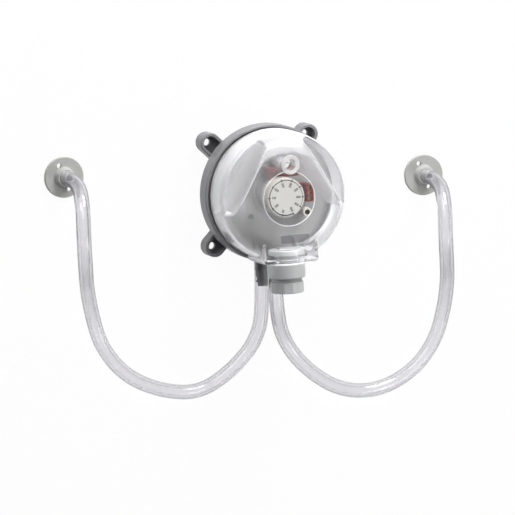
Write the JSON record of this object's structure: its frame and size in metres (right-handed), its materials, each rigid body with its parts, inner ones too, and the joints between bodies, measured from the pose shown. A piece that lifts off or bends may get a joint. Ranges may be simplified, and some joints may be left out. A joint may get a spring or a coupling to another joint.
{
  "type": "differential pressure switch",
  "caption": "Round air pressure switch with clear domed cover, range dial, snap switch, cable gland, four ears and clear hoses to flanged duct connectors.",
  "frame": {"origin": "centre of the mounting plane at the back of the casing, on the casing's axis", "axes": "+Z out of the front of the casing, +Y away from the cable gland, +X to the right seen from the front"},
  "size_m": [0.261, 0.1786, 0.0591],
  "materials": {
    "casing_grey": "moulded, satin",
    "housing_grey": "moulded, satin",
    "silicone": "soft rubber",
    "inner_plastic": "moulded",
    "spring_steel": "bright wire",
    "dial_cream": "moulded, light gloss",
    "scale_white": "printed plate",
    "switch_red": "thermoset, satin",
    "button_black": "satin",
    "plated_brass": "bright",
    "zinc_steel": "zinc plated",
    "clear_cover": "clear gloss moulding",
    "cover_screw_grey": "moulded",
    "gland_grey": "moulded, satin",
    "gland_rubber": "soft rubber",
    "clear_hose": "clear soft tube, faint violet",
    "connector_grey": "moulded, satin"
  },
  "bodies": {
    "casing": {"rear_shell": "casing_grey", "switch_housing": "housing_grey", "diaphragm": "silicone", "snap_switch": "switch_red", "switch_tabs": "plated_brass", "terminal_block": "switch_red", "clamp_screws": "plated_brass", "trim_sleeve": "dial_cream", "trim_screw": "button_black", "deck_screw": "zinc_steel", "case_screws": "zinc_steel", "cover_seal": "silicone", "gland_body": "gland_grey", "gland_seal": "gland_rubber", "hose_left": "clear_hose", "hose_right": "clear_hose", "duct_connector_left": "connector_grey", "duct_connector_right": "connector_grey"},
    "plate": {"diaphragm_plate": "inner_plastic"},
    "button": {"switch_button": "button_black"},
    "spring_adjuster": {"spring_seat": "inner_plastic", "range_spring": "spring_steel"},
    "dial": {"dial_knob": "dial_cream", "dial_scale": "scale_white", "stem_clip": "spring_steel"},
    "cover": {"cover": "clear_cover", "cover_screw": "cover_screw_grey"},
    "clamp_ring": {"gland_clamp_ring": "inner_plastic"},
    "nut": {"gland_nut": "gland_grey"}
  },
  "joints": [
    {"name": "plate_travel", "type": "slide", "parent": "casing", "child": "plate", "axis": [0, 0, 1], "range_m": [0, 0.0008], "stiffness_N_per_m": 300, "springref_m": -0.002},
    {"name": "button_travel", "type": "slide", "parent": "casing", "child": "button", "axis": [0, 0, 1], "range_m": [0, 0.0008]},
    {"name": "dial_turn", "type": "hinge", "parent": "casing", "child": "dial", "pos_m": [0, 0, 0.045], "axis": [0, 0, 1], "range_deg": [-142, 179]},
    {"name": "seat_travel", "type": "slide", "parent": "casing", "child": "spring_adjuster", "axis": [0, 0, 1], "range_m": [-0.00185, 0.00145], "deforming": ["range_spring"]},
    {"name": "cover_lift", "type": "slide", "parent": "casing", "child": "cover", "axis": [0, 0, 1], "range_m": [0, 0.045]},
    {"name": "clamp_travel", "type": "slide", "parent": "casing", "child": "clamp_ring", "axis": [0, -1, 0], "range_m": [-0.0016, 0.0016]},
    {"name": "nut_turn", "type": "hinge", "parent": "clamp_ring", "child": "nut", "pos_m": [0, -0.055, 0.0457], "axis": [0, -1, 0], "range_deg": [-360, 360]}
  ],
  "couplings": [
    {"joint": "seat_travel", "follows": "dial_turn", "m_per_rad": -0.00057296},
    {"joint": "button_travel", "follows": "plate_travel", "ratio": 1},
    {"joint": "clamp_travel", "follows": "nut_turn", "m_per_rad": 0.00023873}
  ]
}
